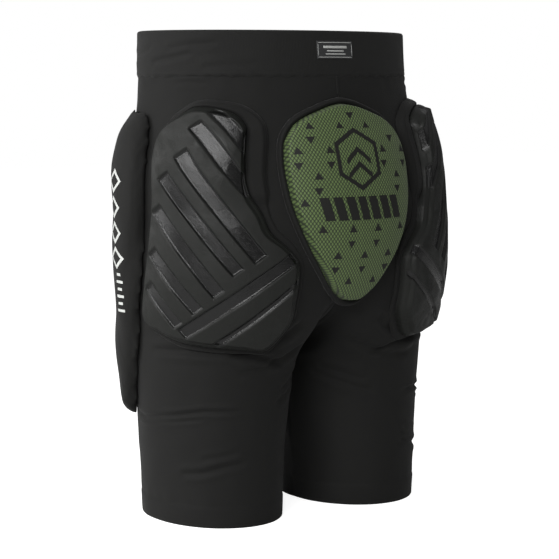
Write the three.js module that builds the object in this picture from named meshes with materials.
import * as THREE from 'three';
import { mergeVertices } from 'three/addons/utils/BufferGeometryUtils.js';

// Padded impact shorts, in millimetres. The front faces -Y, the wearer's left is +X, Z is up,
// and the hems stand on z = 0.

// overall sizes
const totalHeight = 471;
const bandHeight = 44;
const crotchHeight = 150;
const waistHalfWidth = 143.5;
const waistFrontDepth = 98;
const waistBackDepth = 101;
const hipHalfWidth = 163;
const hipFrontDepth = 93;
const hipBackDepth = 124;
const hemHalfWidth = 146;
const hemHalfDepth = 79;
const legGap = 36; // between the two hems

// cloth and bands
const fabricThickness = 1.5;
const seamGap = 0.6;
const layerGap = 0.4;
const padClearance = 0.95; // lets a faceted pad lie on a faceted panel
const trimClearance = 0.7;
const hemHeight = 21;
const hemThickness = 2.2;
const hemElasticThickness = 1;
const hemElasticHeight = 16;
const casingThickness = 1.2;
const waistElasticThickness = 1.6;
const labelWidth = 42;
const labelHeight = 17;
const labelThickness = 0.6;
const labelRise = 17; // from the band's lower edge to the label's lower edge
const backSeamWidth = 3;

// seat pads: outline measured along the body from the side seam, and up from the hems
const seatPadNesting = 16.2; // how far a seat pad's broad foot reaches in below the tailbone pad
const seatPadWidth = 160;
const seatPadBottom = 175;
const seatPadHeight = 224;
const seatPadThickness = 19;
const seatPadSwell = 0.45; // extra share of thickness where the stiff pad bridges the waist
const seatShellThickness = 3;
const flangeThickness = 3;
const flangeLift = 0.8; // the flange's corners stand further apart than the pad's

// hip pads
const hipPadGap = 2; // to the seat pad
const hipPadWidth = 111;
const hipPadBottom = 97;
const hipPadHeight = 300;
const hipPadThickness = 18;
const hipCoverThickness = 1.2;
const hipPrintWidth = 30;
const hipPrintHeight = 150;
const hipPrintBottom = 212;
const hipPrintShift = 20; // from the pad's middle towards the back
const hipPrintThickness = 0.5;

// tailbone pad
const tailPadWidth = 136;
const tailPadBottom = 216;
const tailPadHeight = 186;
const tailPadThickness = 17;
const tailMeshThickness = 1;
const borderWidth = 6;
const borderThickness = 4;
const emblemSize = 46;
const emblemHeight = 347;
const emblemThickness = 0.5;
const printLift = 0.8; // a flat-sided print over a domed cover

// shared pad build
const wallShare = 0.965; // top edge of a pad's cover as a share of its outline

// longest facets
const roundFacet = 16; // round a panel
const risingFacet = 26; // up a panel
const sleeveFacet = 45; // up a leg, which is nearly straight
const padFacet = 17; // from a pad's middle to its end
const outlineFacet = 16; // along a pad's outline

const bandBottom = totalHeight - bandHeight;
const torso = (share) => crotchHeight + share * (bandBottom - crotchHeight);
const mix = (a, b, share) => a + (b - a) * share;

// One row per level of the body: height, outer half width, inner edge of the loop (positive
// between the legs, negative in the torso), centre in Y, depth in front, depth behind.
function bodyRow(height, halfWidth, inner, centreY, front, back) {
  const centre = (halfWidth + inner) / 2;
  return [height, centre, halfWidth - centre, centreY, front, back];
}

const legRow = (share, width, gap, depth, back) => bodyRow(
  crotchHeight * share,
  mix(hemHalfWidth, hipHalfWidth, width),
  Math.max(0.4, gap * legGap / 2),
  1,
  mix(hemHalfDepth, hipFrontDepth, depth),
  mix(hemHalfDepth, hipBackDepth, back),
);

const hipRow = (share, width, inner, centreY, depth, back) => bodyRow(
  torso(share),
  mix(hemHalfWidth, hipHalfWidth, width),
  -inner * mix(hemHalfWidth, hipHalfWidth, width),
  centreY,
  mix(hemHalfDepth, hipFrontDepth, depth),
  mix(hemHalfDepth, hipBackDepth, back),
);

const waistRow = (share, width, inner, centreY, depth, back) => bodyRow(
  torso(share),
  mix(hipHalfWidth, waistHalfWidth, width),
  -inner * mix(hipHalfWidth, waistHalfWidth, width),
  centreY,
  mix(hipFrontDepth, waistFrontDepth, depth),
  mix(hipBackDepth, waistBackDepth, back),
);

const levels = [
  legRow(0, 0, 1, 0, 0),
  legRow(0.33, 0.18, 0.83, 0, 0),
  legRow(0.63, 0.35, 0.55, 0.07, 0.02),
  legRow(0.9, 0.53, 0.2, 0.2, 0.06),
  legRow(1, 0.6, 0, 0.28, 0.1),
  hipRow(0.054, 0.63, 0.057, 1, 0.36, 0.17),
  hipRow(0.137, 0.72, 0.268, 0, 0.5, 0.46),
  hipRow(0.235, 0.82, 0.475, 0, 0.65, 0.73),
  hipRow(0.343, 0.94, 0.667, 0, 0.8, 0.91),
  hipRow(0.505, 1, 0.853, -1, 0.93, 1),
  waistRow(0.686, 0.1, 0.95, -4, 0.1, 0.22),
  waistRow(0.848, 0.68, 0.987, -8, 0.6, 0.55),
  waistRow(1, 0.94, 1, -10.5, 0.85, 0.8),
  [totalHeight, 0, waistHalfWidth, -11, waistFrontDepth, waistBackDepth],
];

// Values at one height, on a smooth curve through the levels.
function sectionAt(height) {
  const last = levels.length - 1;
  let row = 0;
  while (row < last - 1 && height > levels[row + 1][0]) {
    row += 1;
  }
  const step = levels[row + 1][0] - levels[row][0];
  const t = (height - levels[row][0]) / step;
  const slope = (index, column) => {
    const low = levels[Math.max(0, index - 1)];
    const high = levels[Math.min(last, index + 1)];
    return (high[column] - low[column]) / (high[0] - low[0]);
  };
  return [1, 2, 3, 4, 5].map((column) => (
    (2 * t ** 3 - 3 * t ** 2 + 1) * levels[row][column]
    + (t ** 3 - 2 * t ** 2 + t) * step * slope(row, column)
    + (3 * t ** 2 - 2 * t ** 3) * levels[row + 1][column]
    + (t ** 3 - t ** 2) * step * slope(row + 1, column)
  ));
}

// How far the cloth spans straight between the two sides of the body instead of dipping.
function spanAt(height) {
  return THREE.MathUtils.smoothstep(height, torso(0.07), torso(0.24));
}

// A point of the cloth's outer face on the wearer's left: angle 0 at the side seam, positive
// towards the back.
function skinPoint(angle, height) {
  const [centre, halfWidth, centreY, front, back] = sectionAt(height);
  const x = centre + halfWidth * Math.cos(angle);
  const depth = angle > 0 ? back : front;
  let reach = Math.sin(angle);
  if (x < centre) {
    reach = mix(reach, Math.sign(angle), spanAt(height));
  }
  return new THREE.Vector3(x, centreY + depth * reach, height);
}

function bodyPoint(angle, height, offset) {
  const point = skinPoint(angle, height);
  const along = skinPoint(angle + 0.004, height).sub(skinPoint(angle - 0.004, height));
  const up = skinPoint(angle, height + 0.5).sub(skinPoint(angle, height - 0.5));
  return point.add(along.cross(up).normalize().multiplyScalar(offset));
}

// The angle where the section reaches a given distance from the middle plane.
function middleAngle(height, fromMiddle) {
  const [centre, halfWidth] = sectionAt(height);
  return Math.acos(THREE.MathUtils.clamp((fromMiddle - centre) / halfWidth, -1, 1));
}

// The distance along the cloth from the side seam to the middle of the back.
function backGirth(height) {
  const steps = 200;
  const end = middleAngle(height, 0);
  let girth = 0;
  for (let i = 0; i < steps; i += 1) {
    const from = skinPoint(end * i / steps, height);
    girth += from.distanceTo(skinPoint(end * (i + 1) / steps, height));
  }
  return girth;
}

const seatPadEdge = backGirth(tailPadBottom + tailPadHeight / 2)
  - tailPadWidth / 2 - seatPadWidth + seatPadNesting;
const hipPadEdge = seatPadEdge - hipPadGap - hipPadWidth;

// The angle at a distance along the cloth from the side seam.
function angleAlong(distance, height) {
  const way = Math.sign(distance);
  const step = 0.02;
  let angle = 0;
  let walked = 0;
  let from = skinPoint(0, height);
  while (angle < Math.PI) {
    const to = skinPoint(way * (angle + step), height);
    const piece = to.distanceTo(from);
    if (walked + piece >= Math.abs(distance)) {
      return way * (angle + step * (Math.abs(distance) - walked) / piece);
    }
    walked += piece;
    angle += step;
    from = to;
  }
  return way * Math.PI;
}

// Joins repeated corners, drops collapsed triangles and turns the faces outwards.
function closeShape(geometry, flip) {
  geometry.deleteAttribute('uv');
  geometry.deleteAttribute('normal');
  const merged = mergeVertices(geometry, 1e-4);
  const source = merged.getIndex().array;
  const kept = [];
  for (let i = 0; i < source.length; i += 3) {
    const [a, b, c] = [source[i], source[i + 1], source[i + 2]];
    if (a !== b && b !== c && c !== a) {
      kept.push(...(flip ? [a, c, b] : [a, b, c]));
    }
  }
  merged.setIndex(kept);
  merged.computeVertexNormals();
  return merged;
}

function isInsideOut(geometry) {
  const at = geometry.getAttribute('position');
  const index = geometry.getIndex().array;
  const [a, b, c] = [new THREE.Vector3(), new THREE.Vector3(), new THREE.Vector3()];
  let volume = 0;
  for (let i = 0; i < index.length; i += 3) {
    a.fromBufferAttribute(at, index[i]);
    b.fromBufferAttribute(at, index[i + 1]);
    c.fromBufferAttribute(at, index[i + 2]);
    volume += a.dot(b.cross(c));
  }
  return volume < 0;
}

function reshape(geometry, place) {
  const at = geometry.getAttribute('position');
  for (let i = 0; i < at.count; i += 1) {
    const point = place(at.getX(i), at.getY(i), at.getZ(i));
    at.setXYZ(i, point.x, point.y, point.z);
  }
  const closed = closeShape(geometry, false);
  return isInsideOut(closed) ? closeShape(closed, true) : closed;
}

const mirrored = (point, side) => point.setX(point.x * side);

// A strip of cloth between two heights and two edges, each edge given as an angle at a height.
function clothPanel(side, edges, heights, offsets, counts) {
  const box = new THREE.BoxGeometry(1, 1, 1, counts[0], counts[1], 1);
  return reshape(box, (u, v, w) => {
    const height = mix(heights[0], heights[1], v + 0.5);
    const angle = mix(edges[0](height), edges[1](height), u + 0.5);
    return mirrored(bodyPoint(angle, height, mix(offsets[0], offsets[1], w + 0.5)), side);
  });
}

// A band all the way round a leg or the waist; the profile is closed: [offset, height] pairs.
function bodyBand(place, profile, segments) {
  const away = 10;
  const points = [...profile, profile[0]].map(([offset, height]) => (
    new THREE.Vector2(away + offset, height)
  ));
  const lathe = new THREE.LatheGeometry(points, segments);
  return reshape(lathe, (x, height, z) => {
    return place(Math.atan2(z, x), height, Math.hypot(x, z) - away);
  });
}

const legPlace = (side) => (angle, height, offset) => (
  mirrored(bodyPoint(angle, height, offset), side)
);

// Round the waist the far half is the near half mirrored.
function waistPlace(angle, height, offset) {
  const quarter = Math.PI / 2;
  const beyond = Math.abs(angle) - quarter;
  const near = Math.sign(angle) * (quarter - Math.abs(beyond));
  const point = bodyPoint(near, height, offset);
  if (Math.abs(beyond) < 1e-6) {
    point.x = 0;
  }
  return mirrored(point, beyond > 0 ? -1 : 1);
}

// A pad's outline on the cloth, from points given as shares of its width and height.
function smoothOutline(shares, frame) {
  const count = Math.ceil(2 * (frame.width + frame.height) / outlineFacet);
  const corners = shares.map(([u, v]) => new THREE.Vector3(
    frame.edge + u * frame.width,
    frame.bottom + v * frame.height,
    0,
  ));
  const curve = new THREE.CatmullRomCurve3(corners, true, 'centripetal');
  return Array.from({ length: count }, (_, i) => curve.getPoint(i / count));
}

// A domed or ring-shaped layer over an outline. The profile holds [share of outline, offset]
// pairs, and place turns a distance, a height and an offset into a point.
function padLayer(outline, centre, profile, place) {
  const points = profile.map(([share, offset]) => new THREE.Vector2(share, offset));
  const lathe = new THREE.LatheGeometry(points, outline.length);
  return reshape(lathe, (x, offset, z) => {
    const turn = Math.atan2(x, z) / (2 * Math.PI);
    const index = Math.round((turn + 1) * outline.length) % outline.length;
    const spot = outline[index].clone().sub(centre).multiplyScalar(Math.hypot(x, z)).add(centre);
    return place(spot.x, spot.y, offset);
  });
}

const sidePlace = (side) => (distance, height, offset) => (
  mirrored(bodyPoint(angleAlong(distance, height), height, offset), side)
);

// Across the back: distance is measured sideways from the middle plane.
function backPlace(distance, height, offset) {
  const side = distance < 0 ? -1 : 1;
  const angle = middleAngle(height, Math.abs(distance));
  const point = bodyPoint(angle, height, offset);
  if (Math.abs(distance) < 1e-6) {
    point.x = 0;
  }
  return mirrored(point, side);
}

// Height of a domed face at a share of the way out: flat in the middle, falling to the edge.
const domeAt = (share, edge, top) => mix(top, edge, share ** 2.4);

// Shares of the way out at which a pad's face bends.
function padRings(height) {
  const count = Math.ceil(height / 2 / padFacet);
  return Array.from({ length: count + 1 }, (_, i) => i / count);
}

function slabProfile(outer, low, edge, top, height) {
  const rings = padRings(height).map((ring) => ring * outer);
  return [
    ...rings.map((ring) => [ring, low]),
    ...rings.map((ring) => [ring, domeAt(ring / outer, edge, top)]).reverse(),
  ];
}

function capProfile(low, edge, top, thickness, height) {
  const outside = padRings(height).map((ring) => ring * wallShare);
  const inside = padRings(height).map((ring) => ring * (wallShare - 0.012));
  return [
    ...outside.map((ring) => [ring, domeAt(ring / wallShare, edge, top)]),
    [1, low],
    [wallShare + 0.008, low],
    ...inside.map((ring) => [ring, domeAt(ring / wallShare, edge, top) - thickness]).reverse(),
  ];
}

const ringProfile = (inner, outer, low, high) => [
  [inner, low],
  [outer, low],
  [outer, high],
  [inner, high],
  [inner, low],
];

const model = new THREE.Group();
const body = new THREE.Group();
model.add(body);

const finishes = {
  fabric: { color: 0x1d1d1c, roughness: 0.9, metalness: 0 },
  elastic: { color: 0x232323, roughness: 0.85, metalness: 0 },
  label: { color: 0x3a3b3d, roughness: 0.7, metalness: 0 },
  foam: { color: 0x3b3b3a, roughness: 0.95, metalness: 0 },
  greenFoam: { color: 0x7f9a45, roughness: 0.8, metalness: 0 },
  shell: { color: 0x1a1b1b, roughness: 0.4, metalness: 0 },
  mesh: { color: 0x4d5c2e, roughness: 0.75, metalness: 0 },
  print: { color: 0xc9cac8, roughness: 0.6, metalness: 0 },
  darkPrint: { color: 0x141512, roughness: 0.6, metalness: 0 },
};

function addNode(name, geometry, finish) {
  const node = new THREE.Mesh(geometry, new THREE.MeshStandardMaterial(finishes[finish]));
  node.name = name;
  body.add(node);
}

const sides = [['left', 1], ['right', -1]];

function addWaistband() {
  const low = bandBottom + seamGap;
  const inner = -(2 * casingThickness + waistElasticThickness + 2 * layerGap);
  const casing = [
    [0, low],
    [0, mix(low, totalHeight, 0.5)],
    [0, totalHeight],
    [inner, totalHeight],
    [inner, mix(low, totalHeight, 0.5)],
    [inner, low],
    [inner + casingThickness, low],
    [inner + casingThickness, totalHeight - casingThickness],
    [-casingThickness, totalHeight - casingThickness],
    [-casingThickness, low],
  ];
  addNode('waistband_casing', bodyBand(waistPlace, casing, 48), 'fabric');
  const outer = -(casingThickness + layerGap);
  const top = totalHeight - casingThickness - layerGap;
  const core = [
    [outer, low],
    [outer, top],
    [outer - waistElasticThickness, top],
    [outer - waistElasticThickness, low],
  ];
  addNode('waistband_elastic', bodyBand(waistPlace, core, 48), 'elastic');
  const label = new THREE.BoxGeometry(labelWidth, labelHeight, labelThickness, 6, 1, 1);
  const labelMiddle = bandBottom + labelRise + labelHeight / 2;
  addNode('waistband_label', reshape(label, (x, z, offset) => (
    backPlace(x, labelMiddle + z, trimClearance + labelThickness / 2 + offset)
  )), 'label');
}

function addPanels() {
  const heights = [crotchHeight + seamGap / 2, bandBottom];
  const offsets = [-fabricThickness, 0];
  const sideEdge = (way) => (height) => way * seamGap / 2 / sectionAt(height)[1];
  const middleEdge = (way) => (height) => {
    const limit = Math.PI - seamGap / 2 / sectionAt(height)[1];
    return way * Math.min(middleAngle(height, seamGap / 2), limit);
  };
  const rows = Math.ceil((bandBottom - crotchHeight) / risingFacet);
  const columns = (depth) => Math.ceil((hipHalfWidth + depth) / roundFacet);
  for (const [label, side] of sides) {
    const frontCounts = [columns(hipFrontDepth), rows];
    const front = clothPanel(side, [sideEdge(-1), middleEdge(-1)], heights, offsets, frontCounts);
    addNode(`front_panel_${label}`, front, 'fabric');
    const backCounts = [columns(hipBackDepth), rows];
    const back = clothPanel(side, [sideEdge(1), middleEdge(1)], heights, offsets, backCounts);
    addNode(`back_panel_${label}`, back, 'fabric');
  }
  const stripLow = tailPadBottom + tailPadHeight + borderWidth + 3 * seamGap;
  const stripHigh = bandBottom - seamGap;
  const stripMiddle = (stripLow + stripHigh) / 2;
  const strip = new THREE.BoxGeometry(
    backSeamWidth,
    stripHigh - stripLow,
    labelThickness,
    2,
    2,
    1,
  );
  addNode('centre_back_seam', reshape(strip, (x, z, offset) => (
    backPlace(x, stripMiddle + z, trimClearance + labelThickness / 2 + offset)
  )), 'fabric');
}

function addLegs() {
  const top = crotchHeight - seamGap / 2;
  const low = hemHeight + seamGap / 2;
  const rows = Math.ceil((top - low) / sleeveFacet);
  const rise = Array.from({ length: rows + 1 }, (_, i) => mix(low, top, i / rows));
  const segments = 2 * Math.ceil((hemHalfWidth + hemHalfDepth) / roundFacet);
  const sleeve = [
    ...rise.map((height) => [0, height]),
    ...rise.map((height) => [-fabricThickness, height]).reverse(),
  ];
  const hem = [
    [0, 0],
    [0, hemHeight - seamGap / 2],
    [-hemThickness, hemHeight - seamGap / 2],
    [-hemThickness, 0],
  ];
  const outer = -(hemThickness + layerGap);
  const elasticLow = (hemHeight - hemElasticHeight) / 2;
  const elastic = [
    [outer, elasticLow],
    [outer, elasticLow + hemElasticHeight],
    [outer - hemElasticThickness, elasticLow + hemElasticHeight],
    [outer - hemElasticThickness, elasticLow],
  ];
  for (const [label, side] of sides) {
    addNode(`leg_panel_${label}`, bodyBand(legPlace(side), sleeve, segments), 'fabric');
    addNode(`leg_hem_${label}`, bodyBand(legPlace(side), hem, segments), 'fabric');
    addNode(`hem_elastic_${label}`, bodyBand(legPlace(side), elastic, segments), 'elastic');
  }
}

// A pad's foam block on the cloth, under the cover that closes over it.
function addPad(names, outline, centre, place, sizes, finish) {
  const foot = padClearance;
  const top = foot + sizes.thickness;
  const edge = mix(foot, top, sizes.edge);
  const under = sizes.cover + layerGap;
  const foam = slabProfile(wallShare - 0.035, foot, edge - under, top - under, sizes.height);
  addNode(names.foam, padLayer(outline, centre, foam, place), finish.foam);
  const cover = capProfile(foot, edge, top, sizes.cover, sizes.height);
  addNode(names.cover, padLayer(outline, centre, cover, place), finish.cover);
}

const seatOutline = [
  [0.33, 1], [0.24, 0.975], [0.14, 0.91], [0.106, 0.815], [0.1, 0.656], [0.062, 0.46],
  [0.024, 0.28], [0, 0.105], [0.11, 0.054], [0.235, 0.022], [0.35, 0.01], [0.46, 0.004],
  [0.59, 0], [0.715, 0], [0.87, 0.105], [0.92, 0.21], [0.945, 0.29], [0.95, 0.358],
  [0.89, 0.42], [0.79, 0.486],
  [0.735, 0.569], [0.67, 0.638], [0.64, 0.7], [0.622, 0.777], [0.603, 0.859],
  [0.584, 0.922], [0.5, 0.975],
];

const flangeOutline = [
  [0.34, 1.03], [0.225, 1.003], [0.108, 0.93], [0.076, 0.82], [0.07, 0.656], [0.032, 0.46],
  [-0.006, 0.28], [-0.03, 0.09], [0.095, 0.03], [0.225, -0.004], [0.345, -0.015],
  [0.455, -0.022], [0.59, -0.026], [0.735, -0.026], [0.9, 0.095], [0.95, 0.2],
  [0.975, 0.28], [0.98, 0.36],
  [0.925, 0.44], [0.83, 0.505], [0.78, 0.585], [0.78, 0.65], [0.765, 0.71], [0.755, 0.785],
  [0.73, 0.88], [0.68, 0.95], [0.55, 1.01],
];

function addSeatPads() {
  const frame = {
    edge: seatPadEdge,
    width: seatPadWidth,
    bottom: seatPadBottom,
    height: seatPadHeight,
  };
  const outline = smoothOutline(seatOutline, frame);
  const flange = smoothOutline(flangeOutline, frame);
  const centre = new THREE.Vector3(
    seatPadEdge + 0.42 * seatPadWidth,
    seatPadBottom + 0.4 * seatPadHeight,
    0,
  );
  const sizes = {
    height: seatPadHeight,
    thickness: seatPadThickness,
    cover: seatShellThickness,
    edge: 0.72,
  };
  const foot = padClearance + flangeLift;
  for (const [label, side] of sides) {
    const names = {
      foam: `seat_pad_foam_${label}`,
      cover: `seat_pad_shell_${label}`,
    };
    const flat = sidePlace(side);
    const place = (distance, height, offset) => {
      const share = (height - seatPadBottom) / seatPadHeight;
      const swell = 1 + seatPadSwell * THREE.MathUtils.smoothstep(share, 0.55, 1);
      return flat(distance, height, padClearance + (offset - padClearance) * swell);
    };
    addPad(names, outline, centre, place, sizes, { foam: 'foam', cover: 'shell' });
    const ring = new THREE.LatheGeometry(
      ringProfile(1, 2, foot, foot + flangeThickness).map(([x, y]) => new THREE.Vector2(x, y)),
      outline.length,
    );
    addNode(`seat_pad_flange_${label}`, reshape(ring, (x, offset, z) => {
      const turn = Math.atan2(x, z) / (2 * Math.PI);
      const index = Math.round((turn + 1) * outline.length) % outline.length;
      const inner = outline[index];
      const outward = inner.clone().sub(centre).normalize();
      const start = inner.clone().addScaledVector(outward, seamGap);
      const spot = Math.hypot(x, z) < 1.5 ? start : flange[index];
      return place(spot.x, spot.y, offset);
    }), 'fabric');
  }
}

const hipOutline = [
  [0.86, 1], [0.73, 1], [0.6, 1], [0.46, 1], [0.33, 0.995], [0.2, 0.975], [0.11, 0.9],
  [0.05, 0.77], [0.015, 0.62], [0, 0.46], [0, 0.3], [0.02, 0.17], [0.06, 0.06],
  [0.13, 0.008], [0.24, 0], [0.35, 0], [0.46, 0], [0.56, 0.008], [0.63, 0.06], [0.71, 0.15],
  [0.79, 0.25], [0.87, 0.38], [0.94, 0.52], [0.985, 0.64], [1, 0.76], [0.985, 0.88],
  [0.94, 0.97],
];

function addHipPads() {
  const frame = {
    edge: hipPadEdge,
    width: hipPadWidth,
    bottom: hipPadBottom,
    height: hipPadHeight,
  };
  const outline = smoothOutline(hipOutline, frame);
  const centre = new THREE.Vector3(
    hipPadEdge + 0.5 * hipPadWidth,
    hipPadBottom + 0.5 * hipPadHeight,
    0,
  );
  const sizes = {
    height: hipPadHeight,
    thickness: hipPadThickness,
    cover: hipCoverThickness,
    edge: 0.8,
  };
  const top = padClearance + hipPadThickness + printLift;
  for (const [label, side] of sides) {
    const names = {
      foam: `hip_pad_foam_${label}`,
      cover: `hip_pad_cover_${label}`,
    };
    const place = sidePlace(side);
    addPad(names, outline, centre, place, sizes, { foam: 'foam', cover: 'fabric' });
    const print = new THREE.BoxGeometry(
      hipPrintWidth,
      hipPrintHeight,
      hipPrintThickness,
      4,
      8,
      1,
    );
    addNode(`hip_pad_print_${label}`, reshape(print, (x, z, offset) => (
      place(centre.x + hipPrintShift + x, hipPrintBottom + hipPrintHeight / 2 + z, top + offset)
    )), 'print');
  }
}

const tailSide = [
  [0.485, 0.952], [0.765, 0.898], [0.926, 0.823], [0.985, 0.747], [1, 0.65], [0.956, 0.505],
  [0.838, 0.366], [0.647, 0.226], [0.397, 0.091], [0.16, 0.014],
];

function addTailPad() {
  const outlineShares = [
    [0, 1],
    ...tailSide,
    [0, 0],
    ...tailSide.map(([u, v]) => [-u, v]).reverse(),
  ];
  const frame = {
    edge: 0,
    width: tailPadWidth / 2,
    bottom: tailPadBottom,
    height: tailPadHeight,
  };
  const outline = smoothOutline(outlineShares, frame);
  const centre = new THREE.Vector3(0, tailPadBottom + 0.55 * tailPadHeight, 0);
  const names = {
    foam: 'tailbone_pad_foam',
    cover: 'tailbone_pad_mesh',
  };
  const sizes = {
    height: tailPadHeight,
    thickness: tailPadThickness,
    cover: tailMeshThickness,
    edge: 0.6,
  };
  const finish = { foam: 'greenFoam', cover: 'mesh' };
  addPad(names, outline, centre, backPlace, sizes, finish);
  const foot = padClearance;
  const ring = new THREE.LatheGeometry(
    ringProfile(1, 2, foot, foot + borderThickness).map(([x, y]) => new THREE.Vector2(x, y)),
    outline.length,
  );
  addNode('tailbone_pad_border', reshape(ring, (x, offset, z) => {
    const turn = Math.atan2(x, z) / (2 * Math.PI);
    const index = Math.round((turn + 1) * outline.length) % outline.length;
    const outward = outline[index].clone().sub(centre).normalize();
    const reach = Math.hypot(x, z) < 1.5 ? seamGap : seamGap + borderWidth;
    const spot = outline[index].clone().addScaledVector(outward, reach);
    return backPlace(spot.x, spot.y, offset);
  }), 'fabric');
  const emblem = new THREE.CylinderGeometry(
    emblemSize / 2,
    emblemSize / 2,
    emblemThickness,
    6,
    1,
  );
  const top = padClearance + tailPadThickness + printLift + emblemThickness / 2;
  addNode('tailbone_emblem', reshape(emblem, (x, offset, z) => (
    backPlace(x, emblemHeight + z, top + offset)
  )), 'darkPrint');
}

addWaistband();
addPanels();
addLegs();
addSeatPads();
addHipPads();
addTailPad();

// The box's middle stands over the origin.
const extent = new THREE.Box3().setFromObject(model);
body.position.set(
  -(extent.min.x + extent.max.x) / 2,
  -(extent.min.y + extent.max.y) / 2,
  -extent.min.z,
);
model.updateMatrixWorld(true);

export default model;
